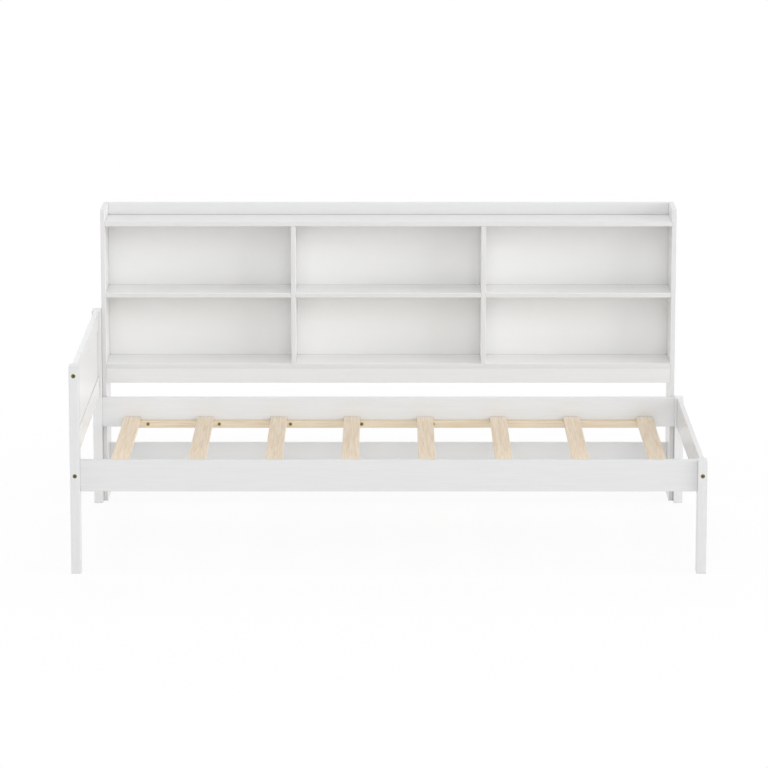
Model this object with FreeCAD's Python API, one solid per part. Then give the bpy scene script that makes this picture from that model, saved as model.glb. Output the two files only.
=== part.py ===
import FreeCAD, Part
import os

os.makedirs("parts", exist_ok=True)

# Bookcase daybed: a low slatted bed with four corner posts, a panelled
# headboard on the left, a single end rail on the right and a six-bay
# bookcase standing behind the back rail.
# Millimetres. +X runs along the mattress, +Y from the front to the bookcase,
# +Z up. The origin is the middle of the footprint at floor level.

# overall plan
bed_length = 1990.0        # over the outer faces of the corner posts
post_pitch = 1010.0        # front face of a front post to front face of a rear post

# corner posts
post_width = 30.0          # along X
post_depth = 55.0          # along Y
high_post_height = 660.0   # headboard end
low_post_height = 360.0    # foot end, level with the side rails
post_arris = 1.5

# long side rails, tenoned into the posts and held by the cross bolts
side_rail_thick = 20.0
side_rail_height = 100.0
rail_arris = 1.2
tenon_length = 24.0
tenon_thick = 12.0
tenon_height = 80.0

# end boards between the posts, with stub tenons above and below each bolt
end_rail_thick = 15.0
head_top_rail_height = 63.0
head_low_rail_top = 435.0
head_low_rail_height = 67.0
end_tenon_length = 15.0
end_tenon_thick = 9.0
end_tenon_edge = 6.0       # edge of the rail to its tenon
bolt_shoulder = 9.0        # bolt centre to the tenon above or below it
head_panel_thick = 6.0
head_panel_tongue = 6.0

# slats, seated in shallow housings in their ledgers
slat_count = 8
slat_width = 55.0
slat_thick = 14.0
slat_seat_depth = 3.0
slat_end_gap = 2.0
slat_room = 102.0          # inner face of a post to the middle of the nearest slat
ledger_depth = 20.0
ledger_height = 23.0
ledger_room = 70.0         # inner face of a post to the end of the ledger
ledger_screw_count = 8
ledger_screw_near = 25.0   # ledger end to its nearest screw, at the foot
ledger_screw_far = 85.0    # the same at the headboard
ledger_screw_rise = 13.0

# bookcase
case_board = 15.0
case_depth = 187.5
case_height = 996.0
bottom_shelf_top = 472.0
lip_thick = 15.0
lip_height = 41.0
apron_height = 50.0
stretcher_top = 180.0
stretcher_height = 100.0
stretcher_setback = 100.0
back_thick = 5.0
back_tongue = 5.0
dado_depth = 4.0
dado_stop = 12.0           # dadoes end this far behind the front edges
stub_length = 8.0          # stub tenons of the apron, stretcher and lip
stub_thick = 7.0
stub_edge = 8.0
lip_tongue_deep = 4.0
lip_tongue_thick = 5.0
board_arris = 1.0

# bolts, barrel nuts and screws
bolt_dia = 6.0
bolt_hole = 6.5
bolt_head_dia = 13.0
bolt_head_thick = 3.0
bolt_head_recess = 3.4
bolt_key = 4.0
bolt_key_depth = 2.0
long_bolt_length = 94.0
short_bolt_length = 50.0
nut_dia = 10.0
nut_length = 12.0
nut_bore = 6.1
long_nut_reach = 88.0
short_nut_reach = 44.0
rail_bolt_drop = 48.0      # top of a rail to its bolt
head_bolt_drop = 30.0
screw_dia = 4.0
screw_head_dia = 10.0
screw_head_thick = 2.4
ledger_screw_length = 34.0
case_screw_length = 35.0
case_screw_edge = 25.0     # edge of the rail to the screw's height
prism_sides = 8            # hidden shanks and their bores are plain prisms

# fits
slip = 0.1                 # gap on each side of a tenon, tongue or board end
tip_gap = 0.4              # spare depth past the end of a tenon or screw

# derived planes
half_length = bed_length / 2.0
post_inner = half_length - post_width
post_mid = half_length - post_width / 2.0
rail_setback = (post_depth - side_rail_thick) / 2.0
total_depth = post_pitch + rail_setback + side_rail_thick + case_depth
front_y = -total_depth / 2.0
rear_y = front_y + post_pitch
front_inner_y = front_y + post_depth
front_rail_y = front_y + rail_setback
back_rail_y = rear_y + rail_setback
side_rail_top = low_post_height
side_rail_bottom = side_rail_top - side_rail_height
side_rail_mid = side_rail_bottom + side_rail_height / 2.0
rail_bolt_height = side_rail_top - rail_bolt_drop
head_bolt_height = high_post_height - head_bolt_drop
ledger_top = side_rail_bottom + ledger_height
ledger_half = post_inner - ledger_room
ledger_screw_run = 2.0 * ledger_half - ledger_screw_near - ledger_screw_far
ledger_screw_pitch = ledger_screw_run / (ledger_screw_count - 1)
slat_pitch = 2.0 * (post_inner - slat_room) / (slat_count - 1)
head_top_rail_bottom = high_post_height - head_top_rail_height
head_low_rail_bottom = head_low_rail_top - head_low_rail_height
head_panel_low = head_low_rail_top - head_panel_tongue
head_panel_high = head_top_rail_bottom + head_panel_tongue
case_front = back_rail_y + side_rail_thick
case_back = case_front + case_depth
case_outer = post_inner
case_inner = case_outer - case_board
shelf_back = case_back - lip_thick
dado_front = case_front + dado_stop
top_shelf_top = case_height - lip_height
top_shelf_bottom = top_shelf_top - case_board
bay_height = (top_shelf_bottom - bottom_shelf_top - case_board) / 2.0
bottom_shelf_bottom = bottom_shelf_top - case_board
mid_shelf_bottom = bottom_shelf_top + bay_height
mid_shelf_top = mid_shelf_bottom + case_board
apron_bottom = bottom_shelf_bottom - apron_height
stretcher_bottom = stretcher_top - stretcher_height
stretcher_y = case_front + stretcher_setback
bay_width = (2.0 * case_inner - 2.0 * case_board) / 3.0
divider_mid = bay_width / 2.0 + case_board / 2.0


# --------------------------------------------------------------- helpers
def block(x0, x1, y0, y1, z0, z1):
    corner = FreeCAD.Vector(min(x0, x1), min(y0, y1), min(z0, z1))
    return Part.makeBox(abs(x1 - x0), abs(y1 - y0), abs(z1 - z0), corner)


def cylinder(dia, start, end):
    return Part.makeCylinder(dia / 2.0, (end - start).Length, start, end - start)


def prism(sides, dia, start, end):
    """A level many-sided rod, one corner up, across its corners dia."""
    way = end - start
    up = FreeCAD.Vector(0, 0, dia / 2.0)
    corners = []
    for k in range(sides + 1):
        turn = FreeCAD.Rotation(way, 360.0 * k / sides)
        corners.append(start + turn.multVec(up))
    return Part.Face(Part.makePolygon(corners)).extrude(way)


def edges_along(shape, axis):
    found = []
    for edge in shape.Edges:
        span = edge.Vertexes[-1].Point - edge.Vertexes[0].Point
        if abs(abs(span[axis]) - span.Length) < 1e-6:
            found.append(edge)
    return found


def arrised(shape, axis, size):
    return shape.makeChamfer(size, edges_along(shape, axis))


def front_arrised(shape, axis):
    found = []
    for edge in edges_along(shape, axis):
        if abs(edge.Vertexes[0].Point.y - case_front) < 1e-6:
            found.append(edge)
    return shape.makeChamfer(board_arris, found)


def cut_near(shape, tools):
    """Cut only with the tools that reach the shape's own box."""
    box = shape.BoundBox
    for tool in tools:
        if box.intersect(tool.BoundBox):
            shape = shape.cut(tool)
    return shape


def save(shape, node):
    shape.exportStep("parts/" + node + ".step")


def save_group(solids, node):
    Part.makeCompound(solids).exportStep("parts/" + node + ".step")


# ------------------------------------------------- bolts and barrel nuts
class Bolt:
    """A headed bolt from a post's outer face, along Y, into a barrel nut."""

    def __init__(self, x, y_face, way, z, length, reach):
        self.way = FreeCAD.Vector(0, way, 0)
        self.face = FreeCAD.Vector(x, y_face, z)
        self.seat = self.face + self.way * bolt_head_recess
        self.head_top = self.seat - self.way * bolt_head_thick
        self.end = self.seat + self.way * length
        self.nut = self.face + self.way * reach
        self.outward = FreeCAD.Vector(1.0 if x > 0 else -1.0, 0, 0)

    def shape(self):
        head = cylinder(bolt_head_dia, self.head_top, self.seat)
        shank = prism(prism_sides, bolt_dia, self.seat, self.end)
        key_depth = self.head_top + self.way * bolt_key_depth
        key = prism(6, bolt_key * 2.0 / 3.0 ** 0.5, self.head_top, key_depth)
        return head.fuse(shank).cut(key)

    def bore(self):
        mouth = cylinder(bolt_head_dia + 4.0 * slip, self.face, self.seat)
        end = self.end + self.way * tip_gap
        return mouth.fuse(prism(prism_sides, bolt_hole, self.face, end))

    def nut_shape(self):
        half = self.outward * (nut_length / 2.0)
        body = cylinder(nut_dia, self.nut - half, self.nut + half)
        thread_start = self.nut - self.way * nut_dia
        thread_end = self.nut + self.way * nut_dia
        return body.cut(prism(prism_sides, nut_bore, thread_start, thread_end))

    def nut_bore(self):
        inner = self.nut - self.outward * (nut_length / 2.0 + slip)
        outer = self.nut + self.outward * post_width
        return cylinder(nut_dia + 2.0 * slip, inner, outer)


long_bolts = []
short_bolts = []
for y_face, way in ((front_y, 1.0), (rear_y + post_depth, -1.0)):
    long_bolts.append(
        Bolt(-post_mid, y_face, way, head_bolt_height, long_bolt_length, long_nut_reach))
    long_bolts.append(
        Bolt(post_mid, y_face, way, rail_bolt_height, long_bolt_length, long_nut_reach))
    short_bolts.append(
        Bolt(-post_mid, y_face, way, rail_bolt_height, short_bolt_length, short_nut_reach))

bolts = long_bolts + short_bolts
bolt_bores = [bolt.bore() for bolt in bolts] + [bolt.nut_bore() for bolt in bolts]
save_group([bolt.shape() for bolt in long_bolts], "long_bolts")
save_group([bolt.shape() for bolt in short_bolts], "short_bolts")
save_group([bolt.nut_shape() for bolt in bolts], "barrel_nuts")


# ---------------------------------------------------------------- screws
def screw(seat, way, length):
    head = cylinder(screw_head_dia, seat - way * screw_head_thick, seat)
    return head.fuse(prism(prism_sides, screw_dia, seat, seat + way * length))


def screw_hole(seat, way, length):
    return prism(prism_sides, screw_dia + 2.0 * slip, seat, seat + way * (length + tip_gap))


to_back = FreeCAD.Vector(0, 1, 0)
to_front = FreeCAD.Vector(0, -1, 0)
front_ledger_y = front_rail_y + side_rail_thick
back_ledger_y = back_rail_y - ledger_depth
ledger_screws = []
ledger_holes = []
for k in range(ledger_screw_count):
    x = ledger_screw_far - ledger_half + ledger_screw_pitch * k
    z = side_rail_bottom + ledger_screw_rise
    back_seat = FreeCAD.Vector(x, back_ledger_y, z)
    front_seat = FreeCAD.Vector(-x, front_ledger_y + ledger_depth, z)
    for seat, way in ((back_seat, to_back), (front_seat, to_front)):
        ledger_screws.append(screw(seat, way, ledger_screw_length))
        ledger_holes.append(screw_hole(seat, way, ledger_screw_length))
save_group(ledger_screws, "ledger_screws")

case_screws = []
case_holes = []
case_screw_y = (case_front + rear_y + post_depth) / 2.0
for side in (-1.0, 1.0):
    for z in (side_rail_bottom + case_screw_edge, side_rail_top - case_screw_edge):
        seat = FreeCAD.Vector(side * case_inner, case_screw_y, z)
        way = FreeCAD.Vector(side, 0, 0)
        case_screws.append(screw(seat, way, case_screw_length))
        case_holes.append(screw_hole(seat, way, case_screw_length))
save_group(case_screws, "case_screws")


# ------------------------------------------- headboard and footboard rails
def tenon_band(x_mid, z0, z1, y_plane, way, gap):
    """A stub tenon past y_plane; with a gap it is the mortise for one."""
    half = end_tenon_thick / 2.0 + gap
    deep = end_tenon_length + gap * tip_gap / slip
    return block(x_mid - half, x_mid + half, y_plane, y_plane + way * deep, z0 - gap, z1 + gap)


top_bands = (
    (head_top_rail_bottom + end_tenon_edge, head_bolt_height - bolt_shoulder),
    (head_bolt_height + bolt_shoulder, high_post_height - end_tenon_edge),
)
low_bands = ((head_low_rail_bottom + end_tenon_edge, head_panel_low - end_tenon_edge),)
foot_bands = (
    (side_rail_bottom + end_tenon_edge, rail_bolt_height - bolt_shoulder),
    (rail_bolt_height + bolt_shoulder, side_rail_top - end_tenon_edge),
)
end_planes = ((front_inner_y, -1.0), (rear_y, 1.0))


def end_rail(x_mid, z0, z1, bands):
    half = end_rail_thick / 2.0
    body = block(x_mid - half, x_mid + half, front_inner_y, rear_y, z0, z1)
    body = arrised(body, 1, rail_arris)
    for low, high in bands:
        for y_plane, way in end_planes:
            body = body.fuse(tenon_band(x_mid, low, high, y_plane, way, 0.0))
    return cut_near(body, bolt_bores)


def head_groove(z0, z1):
    half = head_panel_thick / 2.0 + slip
    reach = head_panel_tongue + tip_gap
    return block(-post_mid - half, -post_mid + half, front_inner_y - reach, rear_y + reach, z0, z1)


panel_gap_low = head_panel_low - tip_gap
panel_gap_high = head_panel_high + tip_gap

top_rail = end_rail(-post_mid, head_top_rail_bottom, high_post_height, top_bands)
save(top_rail.cut(head_groove(panel_gap_low, panel_gap_high)), "headboard_top_rail")

low_rail = end_rail(-post_mid, head_low_rail_bottom, head_low_rail_top, low_bands)
save(low_rail.cut(head_groove(panel_gap_low, panel_gap_high)), "headboard_lower_rail")

panel_half = head_panel_thick / 2.0
head_panel = block(
    -post_mid - panel_half, -post_mid + panel_half,
    front_inner_y - head_panel_tongue, rear_y + head_panel_tongue,
    head_panel_low, head_panel_high)
save(head_panel, "headboard_panel")

save(end_rail(post_mid, side_rail_bottom, side_rail_top, foot_bands), "footboard_rail")


# ----------------------------------------------------------- corner posts
def rail_tenon(y_mid, reach, gap):
    half_thick = tenon_thick / 2.0 + gap
    half_high = tenon_height / 2.0 + gap
    return block(-reach, reach, y_mid - half_thick, y_mid + half_thick,
                 side_rail_mid - half_high, side_rail_mid + half_high)


def post(side, y_face, height, bands):
    body = block(side * post_inner, side * half_length, y_face, y_face + post_depth, 0, height)
    eased_edges = edges_along(body, 2)
    for edge in body.Edges:
        if abs(edge.CenterOfMass.z - height) < 1e-6:
            eased_edges.append(edge)
    body = body.makeChamfer(post_arris, eased_edges)
    y_mid = y_face + post_depth / 2.0
    mortise = rail_tenon(y_mid, post_inner + tenon_length + tip_gap, slip)
    sockets = [mortise]
    for low, high in bands:
        for y_plane, way in end_planes:
            sockets.append(tenon_band(side * post_mid, low, high, y_plane, way, slip))
    return cut_near(body, sockets + bolt_bores + case_holes)


head_bands = top_bands + low_bands
panel_socket = head_groove(panel_gap_low, panel_gap_high)
front_left = post(-1.0, front_y, high_post_height, head_bands)
rear_left = post(-1.0, rear_y, high_post_height, head_bands)
save(front_left.cut(panel_socket), "front_left_post")
save(rear_left.cut(panel_socket), "rear_left_post")
save(post(1.0, front_y, low_post_height, foot_bands), "front_right_post")
save(post(1.0, rear_y, low_post_height, foot_bands), "rear_right_post")


# ------------------------------------------------------------- side rails
def side_rail(y_near):
    body = block(-post_inner, post_inner, y_near, y_near + side_rail_thick,
                 side_rail_bottom, side_rail_top)
    body = arrised(body, 0, rail_arris)
    y_mid = y_near + side_rail_thick / 2.0
    body = body.fuse(rail_tenon(y_mid, post_inner + tenon_length, 0.0))
    return cut_near(body, bolt_bores + ledger_holes)


save(side_rail(front_rail_y), "front_side_rail")
save(side_rail(back_rail_y), "back_side_rail")


# ------------------------------------------------------ slats and ledgers
slat_front = front_ledger_y + slat_end_gap
slat_rear = back_rail_y - slat_end_gap
slat_bottom = ledger_top - slat_seat_depth
slat_x = []
for k in range(slat_count):
    slat_x.append((k - (slat_count - 1) / 2.0) * slat_pitch)


def ledger(y_near):
    body = block(-ledger_half, ledger_half, y_near, y_near + ledger_depth,
                 side_rail_bottom, ledger_top)
    body = arrised(body, 0, board_arris)
    seats = []
    for x in slat_x:
        half = slat_width / 2.0 + slip
        seats.append(block(x - half, x + half, y_near, y_near + ledger_depth,
                           slat_bottom, ledger_top))
    return cut_near(body, ledger_holes + seats)


save(ledger(front_ledger_y), "front_slat_ledger")
save(ledger(back_ledger_y), "back_slat_ledger")

for k, x in enumerate(slat_x):
    slat = block(x - slat_width / 2.0, x + slat_width / 2.0, slat_front, slat_rear,
                 slat_bottom, slat_bottom + slat_thick)
    save(arrised(slat, 1, board_arris), "slat_" + str(k + 1))


# --------------------------------------------------------------- bookcase
# shelves and dividers sit in blind dadoes; the back panel runs in grooves;
# the apron, stretcher and lip have stub tenons in the sides
panel_low = bottom_shelf_top - back_tongue
panel_high = top_shelf_bottom + back_tongue
panel_reach = case_inner + back_tongue
board_back = shelf_back - slip


def back_groove(reach):
    return block(-reach, reach, shelf_back - slip, shelf_back + back_thick + slip,
                 panel_low - tip_gap, panel_high + tip_gap)


def cross_board(y0, y1, z0, z1, gap):
    """The stub tenons of a board between the sides; with a gap, their mortises."""
    y_mid = (y0 + y1) / 2.0
    half = stub_thick / 2.0 + gap
    reach = case_inner + stub_length + gap * tip_gap / slip
    return block(-reach, reach, y_mid - half, y_mid + half,
                 z0 + stub_edge - gap, z1 - stub_edge + gap)


apron_box = (case_front, case_front + case_board, apron_bottom, bottom_shelf_bottom)
stretcher_box = (stretcher_y, stretcher_y + case_board, stretcher_bottom, stretcher_top)
lip_box = (shelf_back, case_back, top_shelf_top, case_height)


def shelf_dado(z0, y_end):
    reach = case_inner + dado_depth + slip
    return block(-reach, reach, dado_front - slip, y_end, z0 - slip, z0 + case_board + slip)


def divider_dado(x_mid):
    half = case_board / 2.0 + slip
    reach = dado_depth + slip
    return block(x_mid - half, x_mid + half, dado_front - slip, shelf_back,
                 bottom_shelf_top - reach, top_shelf_bottom + reach)


def case_side(side):
    body = block(side * case_inner, side * case_outer, case_front, case_back, 0, case_height)
    body = arrised(body, 2, board_arris)
    sockets = [
        shelf_dado(top_shelf_bottom, case_back),
        shelf_dado(bottom_shelf_bottom, case_back),
        shelf_dado(mid_shelf_bottom, shelf_back),
        back_groove(panel_reach + tip_gap),
        cross_board(*apron_box, slip),
        cross_board(*stretcher_box, slip),
        cross_board(*lip_box, slip),
    ]
    return cut_near(body, sockets + case_holes)


save(case_side(-1.0), "bookcase_left_side")
save(case_side(1.0), "bookcase_right_side")


def shelf(x0, x1, z0, y_end):
    face = block(x0, x1, case_front, y_end, z0, z0 + case_board)
    tongue = block(x0 - dado_depth, x1 + dado_depth, dado_front, y_end, z0, z0 + case_board)
    return front_arrised(face, 0).fuse(tongue).removeSplitter()


lip_tongue_y = shelf_back + lip_thick / 2.0


def lip_tongue(gap):
    half = lip_tongue_thick / 2.0 + gap
    reach = case_inner + gap * (dado_depth + 1.0) / slip
    return block(-reach, reach, lip_tongue_y - half, lip_tongue_y + half,
                 top_shelf_top - lip_tongue_deep - gap, top_shelf_top + stub_edge)


divider_dadoes = [divider_dado(-divider_mid), divider_dado(divider_mid)]
shelf_cuts = divider_dadoes + [back_groove(half_length)]

top_shelf = shelf(-case_inner, case_inner, top_shelf_bottom, case_back)
save(cut_near(top_shelf, shelf_cuts + [lip_tongue(slip)]), "top_shelf")

bottom_shelf = shelf(-case_inner, case_inner, bottom_shelf_bottom, case_back)
save(cut_near(bottom_shelf, shelf_cuts), "bottom_shelf")

bays = (
    ("left", -case_inner, -divider_mid - case_board / 2.0),
    ("centre", -divider_mid + case_board / 2.0, divider_mid - case_board / 2.0),
    ("right", divider_mid + case_board / 2.0, case_inner),
)
for name, x0, x1 in bays:
    save(shelf(x0, x1, mid_shelf_bottom, board_back), "middle_shelf_" + name)


def divider(side):
    x0 = side * divider_mid - case_board / 2.0
    x1 = side * divider_mid + case_board / 2.0
    face = block(x0, x1, case_front, board_back, bottom_shelf_top, top_shelf_bottom)
    tongue = block(x0, x1, dado_front, board_back,
                   bottom_shelf_top - dado_depth, top_shelf_bottom + dado_depth)
    body = front_arrised(face, 2).fuse(tongue).removeSplitter()
    for x_face, way in ((x0, 1.0), (x1, -1.0)):
        body = body.cut(block(
            x_face, x_face + way * (dado_depth + slip), dado_front - slip, shelf_back,
            mid_shelf_bottom - slip, mid_shelf_top + slip))
    return body


save(divider(-1.0), "divider_left")
save(divider(1.0), "divider_right")

back_panel = block(-panel_reach, panel_reach, shelf_back, shelf_back + back_thick,
                   panel_low, panel_high)
save(back_panel, "back_panel")


def tenoned_board(y0, y1, z0, z1):
    body = block(-case_inner, case_inner, y0, y1, z0, z1)
    body = arrised(body, 0, board_arris)
    return body.fuse(cross_board(y0, y1, z0, z1, 0.0))


save(tenoned_board(*apron_box), "apron")
save(tenoned_board(*stretcher_box), "lower_stretcher")
save(tenoned_board(*lip_box).fuse(lip_tongue(0.0)).removeSplitter(), "back_lip")
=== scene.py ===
import bpy
import math
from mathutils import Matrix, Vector

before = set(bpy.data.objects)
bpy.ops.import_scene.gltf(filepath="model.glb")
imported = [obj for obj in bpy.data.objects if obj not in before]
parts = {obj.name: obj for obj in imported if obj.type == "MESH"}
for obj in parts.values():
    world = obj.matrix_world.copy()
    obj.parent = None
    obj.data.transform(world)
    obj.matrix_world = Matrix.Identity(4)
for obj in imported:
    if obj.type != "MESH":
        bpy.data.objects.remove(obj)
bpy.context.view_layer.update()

# Lengths are in metres and colours are linear. A noise is given by its scale along and
# across the grain, and a ramp by two values that come in and the two that they become,
# which are 0 and 1 where they are left out.

# -------------------------------------------------------------- white paint
# Each entry is a lit or shaded copy of one white, with the darker tone of its grain.
# The photograph shows about one white. The values differ as painted light and painted
# shade, to make up for light that plain lamps lose between boards.
LIT_AND_SHADED_WHITES = {
    "front": ((0.735, 0.737, 0.739), (0.705, 0.707, 0.708)),
    "top": ((0.768, 0.769, 0.770), (0.738, 0.739, 0.738)),
    "case": ((0.797, 0.802, 0.804), (0.775, 0.779, 0.780)),
    "rear": ((0.812, 0.821, 0.831), (0.782, 0.790, 0.798)),
    "head": ((0.855, 0.862, 0.869), (0.827, 0.834, 0.840)),
    "side": ((0.900, 0.900, 0.895), (0.880, 0.880, 0.874)),
    "back": ((0.912, 0.912, 0.905), (0.885, 0.885, 0.876)),
    "shelf": ((0.935, 0.935, 0.928), (0.915, 0.915, 0.906)),
}

# lit or shaded copy of the white, make, way of the grain, pieces
PAINTED = (
    ("front", "solid", "X", ("front_side_rail",)),
    ("front", "solid", "Z", ("front_left_post", "front_right_post")),
    ("top", "solid", "Y", ("footboard_rail",)),
    ("rear", "solid", "X", ("back_side_rail",)),
    ("rear", "solid", "Z", ("rear_right_post",)),
    ("head", "solid", "Y", ("headboard_top_rail", "headboard_lower_rail")),
    ("case", "solid", "X", ("back_lip", "apron")),
    ("case", "solid", "Z", ("rear_left_post",)),
    ("top", "board", "X", ("top_shelf",)),
    ("rear", "panel", "X", ("lower_stretcher",)),
    ("shelf", "board", "X", ("bottom_shelf", "middle_shelf_left",
                             "middle_shelf_centre", "middle_shelf_right")),
    ("shelf", "board", "Z", ("divider_left", "divider_right")),
    ("side", "side", "Z", ("bookcase_left_side", "bookcase_right_side")),
    ("back", "panel", "X", ("back_panel",)),
    ("head", "panel", "Y", ("headboard_panel",)),
)

PAINT_GRAIN = dict(along=2.2, across=34.0, scale=4.2, detail=5.0, rough=0.62, distortion=0.25)
PAINT_FIBRE = dict(along=6.0, across=210.0, scale=3.0, detail=2.0, rough=0.55)
PAINT_CLOUD = dict(along=1.0, across=1.6, scale=2.2, detail=2.0, rough=0.5)
SOLID_DEPTH = 1.0             # how far the grain shows through the paint
BOARD_DEPTH = 0.35
GRAIN_RANGE = (0.34, 0.66)
CLOUD_TONE = (0.3, 0.7, 0.0, 0.25)
SHADED_BOARD_EDGE = (0.6, 0.8)       # the front-to-back part of the normal, 1 on a front edge, where a board takes the darker copy of the white as painted shade
# a side board's inner faces take a lighter copy of the white as painted light, its edges the
# darker front copy as painted shade
LIT_SIDE_INNER = (-0.6, -0.5, 1.0, 0.0)    # the normal's X times the place's X, in metres:
SIDE_OUTER = (0.5, 0.6)                # about -1 inside a side board, 0 on its edges
WEAR_REACH = 0.0025
WEAR_TONE = (0.35, 0.8, 0.12, 0.0)
# painted shade: darker towards the inside corners between boards
CREVICE_SHADE_REACH = 0.0035
CREVICE_SHADE_TONE = (0.50, 0.82, 0.40, 0.0)
PAINT_CREVICE_SHADE = (0.26, 0.26, 0.245)
PAINT_ROUGHNESS = (0.3, 0.7, 0.30, 0.44)
PAINT_ROUGH_FIBRE = 0.5       # share of the fibre in the roughness, and in the bump
PAINT_BUMP_FIBRE = 0.35
PAINT_BUMP = 0.30
PAINT_BUMP_HEIGHT = 0.0006
COAT = 0.35
COAT_ROUGHNESS = 0.22

# ---------------------------------------------------------------- bare pine
PINE_PALE = (0.880, 0.775, 0.620)
PINE_BODY = (0.840, 0.710, 0.535)
PINE_ROSE = (0.880, 0.730, 0.580)
PINE_STREAK = (0.690, 0.515, 0.335)
# the painted shade in the inside corners
PINE_CREVICE_SHADE = (0.330, 0.180, 0.080)
SLAT_TINT = (1.0, 1.0, 1.0)
LEDGER_SHADE_TINT = (0.930, 0.945, 0.925)    # the ledgers are a darker copy of the pine: painted shade

RING_STRETCH = dict(along=0.20, across=16.0)
RING_WAVE = dict(Scale=1.8, Distortion=3.0, Detail=2.0, Detail_Scale=1.2,
                 Detail_Roughness=0.55)
FLECK = dict(along=7.0, across=270.0, scale=1.0, detail=4.0, rough=0.62)
FIBRE = dict(along=18.0, across=620.0, scale=1.0, detail=2.0, rough=0.6)
HUE = dict(along=1.6, across=55.0, scale=1.0, detail=2.0, rough=0.5)
WHOLE_BOARD = dict(along=0.6, across=4.6, scale=1.0, detail=1.0, rough=0.4)
RING_TONE = (0.15, 0.95, 0.1, 0.7)
HUE_TONE = (0.35, 0.65, 0.1, 0.5)
WHOLE_BOARD_TONE = (0.35, 0.65, 0.0, 0.35)
FLECK_TONE = (0.42, 0.70, 0.0, 0.70)
FIBRE_TONE = (0.50, 0.75, 0.0, 0.35)
# painted shade: darker towards the inside corners between pieces
PINE_CREVICE_SHADE_REACH = 0.006
PINE_CREVICE_SHADE_TONE = (0.45, 0.82, 0.45, 0.0)
PINE_ROUGHNESS = (0.3, 0.7, 0.40, 0.56)
PINE_BUMP_FIBRE = 0.6
PINE_BUMP = 0.25
PINE_BUMP_HEIGHT = 0.0005

# ------------------------------------------------------------------- metals
# body, dark patches, roughness, width of the bright rim that is a painted highlight
DARK_BRASS = ((0.245, 0.200, 0.048), (0.053, 0.044, 0.009), 0.34, 0.0012)
ZINC = ((0.560, 0.560, 0.570), (0.380, 0.380, 0.400), 0.38, 0.0010)
METAL_SHADOW = (0.012, 0.011, 0.004)
BRASS_PIECES = ("long_bolts", "short_bolts", "ledger_screws", "case_screws")

SCRATCHES = dict(scale=900.0, detail=3.0, rough=0.6)
PATCHES = dict(scale=160.0, detail=2.0, rough=0.5)
PATCH_TONE = (0.35, 0.7, 0.0, 0.6)
# the rim keeps the bright body: a painted highlight
RIM_HIGHLIGHT_TONE = (0.55, 0.95)
SOCKET_SHADE_REACH = 0.004          # the painted shade of the key socket
SOCKET_SHADE_TONE = (0.4, 0.85, 0.95, 0.0)
SCRATCH_RANGE = (0.3, 0.7)
SMOOTHER = 0.08               # how far the roughness goes under and over its middle
ROUGHER = 0.10
SCRATCH_BUMP = 0.1
SCRATCH_BUMP_HEIGHT = 0.0001

# -------------------------------------------------------------------- stage
PURE_WHITE = (1.0, 1.0, 1.0, 1.0)
FLOOR_WHITE = (0.950, 0.950, 0.950)
FLOOR_SHADE = (0.93, 0.93, 0.93)
FLOOR_GRAIN = dict(scale=3.0, detail=2.0, rough=0.5)
FLOOR_TONE = (0.3, 0.7, 0.0, 0.3)
FLOOR_HALF = 60.0
SHADOW_REACH = 1.3            # past the object, the floor fades to plain white
SHADOW_FADE = 2.4
NEAR_WHITE = 0.88             # how much of the floor near the object is plain white
SKY_LEVEL = 0.52

CENTRE = Vector((0.0, 0.0, 0.45))
LAMP_DISTANCE = 40.0          # far off, so that both ends of the bed are lit alike
LAMP_SIZE = 23.0
# name, way from the bed, level
LAMPS = (
    ("front_lamp", (0.0, -0.91, 0.42), 0.20),
    ("key_lamp", (0.84, -0.52, 0.14), 0.29),
    ("side_lamp", (0.94, -0.17, 0.29), 0.23),
    ("fill_lamp", (-0.92, -0.19, 0.34), 0.18),
    ("top_lamp", (0.0, -0.17, 0.98), 0.11),
    ("back_lamp", (0.0, 0.70, 0.70), 0.22),
)

CAMERA_PLACE = Vector((-0.015, -12.806, 2.966))
CAMERA_TILT = math.radians(10.96)    # below level
CAMERA_LENS = 187.35                 # in millimetres, as the sensor's width
CAMERA_SENSOR = 36.0
CAMERA_SIGHT = 200.0

# ------------------------------------------------------------- node helpers
CREVICE_SAMPLES = 4


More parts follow.
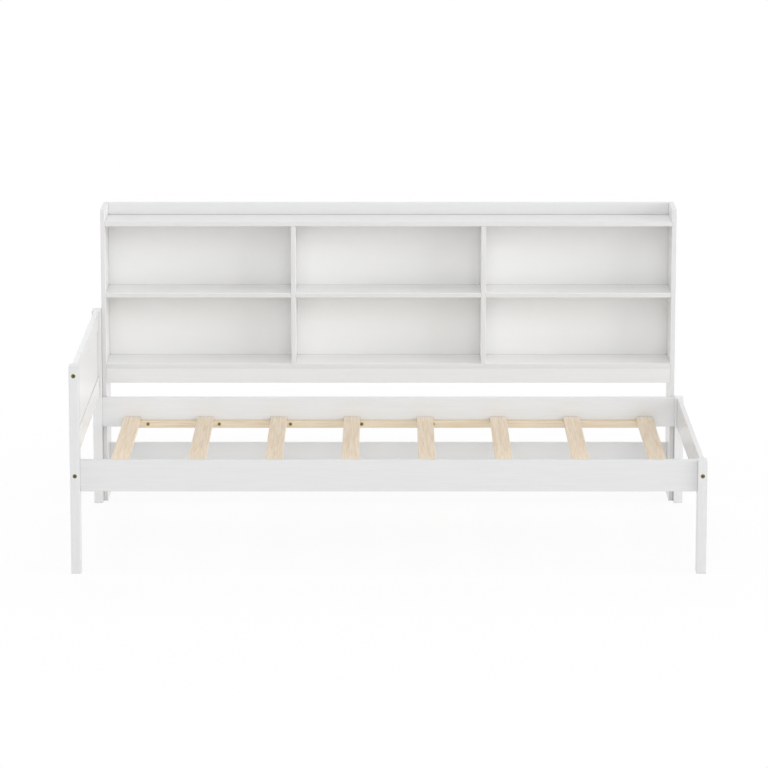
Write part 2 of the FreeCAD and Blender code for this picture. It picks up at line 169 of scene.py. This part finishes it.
class Tree:
    """A short way to add and link the shader nodes of a material or a world."""

    def __init__(self, owner):
        owner.use_nodes = True
        self.owner = owner
        self.nodes = owner.node_tree.nodes
        self.links = owner.node_tree.links
        self.nodes.clear()

    def feed(self, socket, value):
        """Links a socket to another node's, or sets its own value."""
        if isinstance(value, bpy.types.NodeSocket):
            self.links.new(value, socket)
        else:
            socket.default_value = value

    def add(self, kind, settings=None, **inputs):
        node = self.nodes.new("ShaderNode" + kind)
        for key, value in (settings or {}).items():
            setattr(node, key, value)
        for key, value in inputs.items():
            self.feed(node.inputs[key.replace("_", " ")], value)
        return node

    def coords(self, axis, along, across):
        """Object coordinates stretched so that streaks run along one axis."""
        source = self.add("TexCoord").outputs["Object"]
        scale = {"X": (along, across, across), "Y": (across, along, across),
                 "Z": (across, across, along)}[axis]
        return self.add("Mapping", Vector=source, Scale=scale).outputs["Vector"]

    def noise(self, vector, scale, detail, rough, distortion=0.0):
        return self.add("TexNoise", Vector=vector, Scale=scale, Detail=detail,
                        Roughness=rough, Distortion=distortion).outputs["Fac"]

    def streaks(self, axis, along, across, **look):
        return self.noise(self.coords(axis, along, across), **look)

    def ramp(self, factor, low, high, to_low=0.0, to_high=1.0):
        return self.add("MapRange", {"clamp": True}, Value=factor, From_Min=low,
                        From_Max=high, To_Min=to_low, To_Max=to_high).outputs["Result"]

    def mix(self, factor, first, second, blend="MIX"):
        node = self.add("Mix", {"data_type": "RGBA", "blend_type": blend})
        sockets = (node.inputs[0], node.inputs[6], node.inputs[7])
        for socket, value in zip(sockets, (factor, first, second)):
            self.feed(socket, (*value, 1.0) if isinstance(value, tuple) else value)
        return node.outputs[2]

    def maths(self, operation, *values):
        node = self.add("Math", {"operation": operation})
        for socket, value in zip(node.inputs, values):
            self.feed(socket, value)
        return node.outputs["Value"]

    def crevice(self, reach):
        """1 in the open, falling towards the inside corners between boards."""
        return self.add("AmbientOcclusion", {"samples": CREVICE_SAMPLES},
                        Distance=reach).outputs["AO"]

    def edge(self, reach):
        """1 on open faces, falling along the outside edges of a board."""
        return self.add("AmbientOcclusion", {"samples": CREVICE_SAMPLES, "inside": True},
                        Distance=reach).outputs["AO"]

    def bump(self, height, strength, distance):
        return self.add("Bump", Height=height, Strength=strength,
                        Distance=distance).outputs["Normal"]

    def seen(self):
        """1 for what the eye, gloss and glass see, and 0 for what lights the object."""
        path = self.add("LightPath").outputs
        direct = self.maths("MAXIMUM", path["Is Camera Ray"], path["Is Glossy Ray"])
        return self.maths("MAXIMUM", direct, path["Is Transmission Ray"])

    def surface(self, **inputs):
        shader = self.add("BsdfPrincipled", **inputs)
        self.add("OutputMaterial", Surface=shader.outputs["BSDF"])
        return self.owner


# ---------------------------------------------------------------- materials
def lit_and_shaded_tones(tree, make, paint):
    """The white and the grain tone of a piece, by the way each face points. A board's edges
    that face the front or the back, and all narrow edges of a side board, take the front
    rail's darker copy of the white as painted shade. The inner faces of a side board keep
    its own lighter copy as painted light, and its outer face takes the bookcase's solid-wood
    copy."""
    own, edges, outside = LIT_AND_SHADED_WHITES[paint], LIT_AND_SHADED_WHITES["front"], LIT_AND_SHADED_WHITES["case"]
    if make in ("solid", "panel"):
        return own
    normal = tree.add("NewGeometry").outputs["Normal"]
    facing = tree.add("SeparateXYZ", Vector=normal).outputs
    # painted shade: a board's front and back edges take the darker front-rail copy of the
    # white
    if make == "board":
        edge = tree.ramp(tree.maths("ABSOLUTE", facing["Y"]), *SHADED_BOARD_EDGE)
        return [tree.mix(edge, mine, rim) for mine, rim in zip(own, edges)]
    # painted light and shade: a side board's inner faces take its lighter copy, its edges the
    # darker front-rail copy, its outer face the bookcase copy
    place = tree.add("SeparateXYZ", Vector=tree.add("TexCoord").outputs["Object"]).outputs
    outward = tree.maths("MULTIPLY", facing["X"], place["X"])
    inner, outer = tree.ramp(outward, *LIT_SIDE_INNER), tree.ramp(outward, *SIDE_OUTER)
    return [tree.mix(outer, tree.mix(inner, rim, mine), outer_face)
            for mine, rim, outer_face in zip(own, edges, outside)]


def painted_wood(axis, make, paint):
    """Satin white paint: brushed grain shows through on solid wood, less on board. It is
    darker towards the inside corners between boards, as painted shade.
    """
    tree = Tree(bpy.data.materials.new(f"white_{make}_{axis}"))
    grain = tree.streaks(axis, **PAINT_GRAIN)
    fibre = tree.streaks(axis, **PAINT_FIBRE)
    cloud = tree.streaks(axis, **PAINT_CLOUD)
    depth = SOLID_DEPTH if make == "solid" else BOARD_DEPTH
    # the white is one lit or shaded copy: painted light and shade
    white, shade = lit_and_shaded_tones(tree, make, paint)
    wear = tree.ramp(tree.edge(WEAR_REACH), *WEAR_TONE)
    # painted shade: darker towards the inside corners between boards
    crevice_shade = tree.ramp(tree.crevice(CREVICE_SHADE_REACH), *CREVICE_SHADE_TONE)
    tone = tree.mix(tree.ramp(grain, *GRAIN_RANGE, 0.0, depth), white, shade)
    tone = tree.mix(tree.ramp(cloud, *CLOUD_TONE), tone, shade)
    tone = tree.mix(wear, tone, LIT_AND_SHADED_WHITES["front"][1])
    tone = tree.mix(crevice_shade, tone, PAINT_CREVICE_SHADE)
    rough = tree.ramp(tree.mix(PAINT_ROUGH_FIBRE, grain, fibre), *PAINT_ROUGHNESS)
    normal = tree.bump(tree.mix(PAINT_BUMP_FIBRE, grain, fibre), PAINT_BUMP * depth,
                       PAINT_BUMP_HEIGHT)
    return tree.surface(Base_Color=tone, Roughness=rough, Normal=normal,
                        Coat_Weight=COAT, Coat_Roughness=COAT_ROUGHNESS)


def bare_pine(axis, shade_tint):
    """Planed pine: straight growth rings, short darker flecks and a slow change of hue.
    It is darker towards the inside corners as painted shade, and the ledgers' darker copy
    is painted shade too.
    """
    tree = Tree(bpy.data.materials.new(f"pine_{axis}"))
    rings = tree.add("TexWave", {"wave_type": "BANDS", "bands_direction": "DIAGONAL"},
                     Vector=tree.coords(axis, **RING_STRETCH), **RING_WAVE).outputs["Fac"]
    fleck = tree.streaks(axis, **FLECK)
    fibre = tree.streaks(axis, **FIBRE)
    hue = tree.streaks(axis, **HUE)
    board = tree.streaks(axis, **WHOLE_BOARD)
    # painted shade: darker towards the inside corners between pieces
    crevice_shade = tree.ramp(tree.crevice(PINE_CREVICE_SHADE_REACH), *PINE_CREVICE_SHADE_TONE)
    tone = tree.mix(tree.ramp(rings, *RING_TONE), PINE_PALE, PINE_BODY)
    tone = tree.mix(tree.ramp(hue, *HUE_TONE), tone, PINE_ROSE)
    tone = tree.mix(tree.ramp(board, *WHOLE_BOARD_TONE), tone, PINE_PALE)
    tone = tree.mix(tree.ramp(fleck, *FLECK_TONE), tone, PINE_STREAK)
    tone = tree.mix(tree.ramp(fibre, *FIBRE_TONE), tone, PINE_STREAK)
    # painted shade: the crevice darkening, then the darker copy for the ledgers
    tone = tree.mix(1.0, tree.mix(crevice_shade, tone, PINE_CREVICE_SHADE), shade_tint, "MULTIPLY")
    rough = tree.ramp(fleck, *PINE_ROUGHNESS)
    normal = tree.bump(tree.mix(PINE_BUMP_FIBRE, rings, fibre), PINE_BUMP, PINE_BUMP_HEIGHT)
    return tree.surface(Base_Color=tone, Roughness=rough, Normal=normal)


def plated_metal(name, body, dark, roughness, rim):
    """Plated fasteners: a bright rim that is a painted highlight, a dull patchy face, and
    painted shade in the key socket.
    """
    tree = Tree(bpy.data.materials.new(name))
    source = tree.add("TexCoord").outputs["Object"]
    scratches = tree.noise(source, **SCRATCHES)
    patches = tree.noise(source, **PATCHES)
    face = tree.mix(tree.ramp(patches, *PATCH_TONE), body, dark)
    # painted highlight: the rim keeps the bright body
    tone = tree.mix(tree.ramp(tree.edge(rim), *RIM_HIGHLIGHT_TONE), body, face)
    # painted shade in the key socket
    tone = tree.mix(tree.ramp(tree.crevice(SOCKET_SHADE_REACH), *SOCKET_SHADE_TONE), tone, METAL_SHADOW)
    rough = tree.ramp(scratches, *SCRATCH_RANGE, roughness - SMOOTHER, roughness + ROUGHER)
    normal = tree.bump(scratches, SCRATCH_BUMP, SCRATCH_BUMP_HEIGHT)
    return tree.surface(Base_Color=tone, Metallic=1.0, Roughness=rough, Normal=normal)


def dress(names, material):
    for name in names:
        slots = parts[name].data.materials
        slots.clear()
        slots.append(material)


for paint, make, axis, names in PAINTED:
    dress(names, painted_wood(axis, make, paint))
dress([name for name in parts if name.startswith("slat_")], bare_pine("Y", SLAT_TINT))
dress(("front_slat_ledger", "back_slat_ledger"), bare_pine("X", LEDGER_SHADE_TINT))
dress(BRASS_PIECES, plated_metal("dark_brass", *DARK_BRASS))
dress(("barrel_nuts",), plated_metal("zinc", *ZINC))


# -------------------------------------------------------------------- stage
def floor_material():
    """A pale floor that the eye sees almost white, with a faint shadow of the object."""
    tree = Tree(bpy.data.materials.new("floor"))
    place = tree.add("TexCoord").outputs["Object"]
    grain = tree.noise(place, **FLOOR_GRAIN)
    tone = tree.mix(tree.ramp(grain, *FLOOR_TONE), FLOOR_WHITE, FLOOR_SHADE)
    matt = tree.add("BsdfDiffuse", Color=tone).outputs["BSDF"]
    white = tree.add("Emission", Color=PURE_WHITE, Strength=1.0).outputs["Emission"]
    away = tree.add("VectorMath", {"operation": "LENGTH"}, Vector=place).outputs["Value"]
    share = tree.ramp(away, SHADOW_REACH, SHADOW_FADE, NEAR_WHITE, 1.0)
    mixed = tree.add("MixShader", Fac=tree.maths("MULTIPLY", tree.seen(), share))
    tree.feed(mixed.inputs[1], matt)
    tree.feed(mixed.inputs[2], white)
    tree.add("OutputMaterial", Surface=mixed.outputs["Shader"])
    return tree.owner


def floor():
    h = FLOOR_HALF
    mesh = bpy.data.meshes.new("floor")
    mesh.from_pydata([(-h, -h, 0), (h, -h, 0), (h, h, 0), (-h, h, 0)], [], [(0, 1, 2, 3)])
    mesh.materials.append(floor_material())
    piece = bpy.data.objects.new("floor", mesh)
    bpy.context.scene.collection.objects.link(piece)


def sky():
    """An even sky, white to the eye and dimmer as a light."""
    tree = Tree(bpy.data.worlds.new("studio"))
    strength = tree.ramp(tree.seen(), 0.0, 1.0, SKY_LEVEL, 1.0)
    background = tree.add("Background", Color=PURE_WHITE, Strength=strength)
    tree.add("OutputWorld", Surface=background.outputs["Background"])
    bpy.context.scene.world = tree.owner


def lamp(name, towards, level):
    """A square soft lamp. level is the part of a surface's own colour that it
    gives a surface that faces it."""
    light = bpy.data.lights.new(name, "AREA")
    light.shape = "SQUARE"
    light.size = LAMP_SIZE
    light.energy = level * math.pi ** 2 * LAMP_DISTANCE ** 2
    piece = bpy.data.objects.new(name, light)
    way = Vector(towards).normalized()
    piece.location = CENTRE + way * LAMP_DISTANCE
    piece.rotation_euler = way.to_track_quat("Z", "Y").to_euler()
    piece.visible_glossy = False     # the white room is what gloss shows
    bpy.context.scene.collection.objects.link(piece)


def camera():
    data = bpy.data.cameras.new("camera")
    data.lens = CAMERA_LENS
    data.sensor_width = CAMERA_SENSOR
    data.clip_end = CAMERA_SIGHT
    piece = bpy.data.objects.new("camera", data)
    piece.location = CAMERA_PLACE
    piece.rotation_euler = (math.pi / 2.0 - CAMERA_TILT, 0.0, 0.0)
    bpy.context.scene.collection.objects.link(piece)
    bpy.context.scene.camera = piece


floor()
sky()
for name, towards, level in LAMPS:
    lamp(name, towards, level)
camera()
bpy.context.scene.view_settings.view_transform = "Standard"
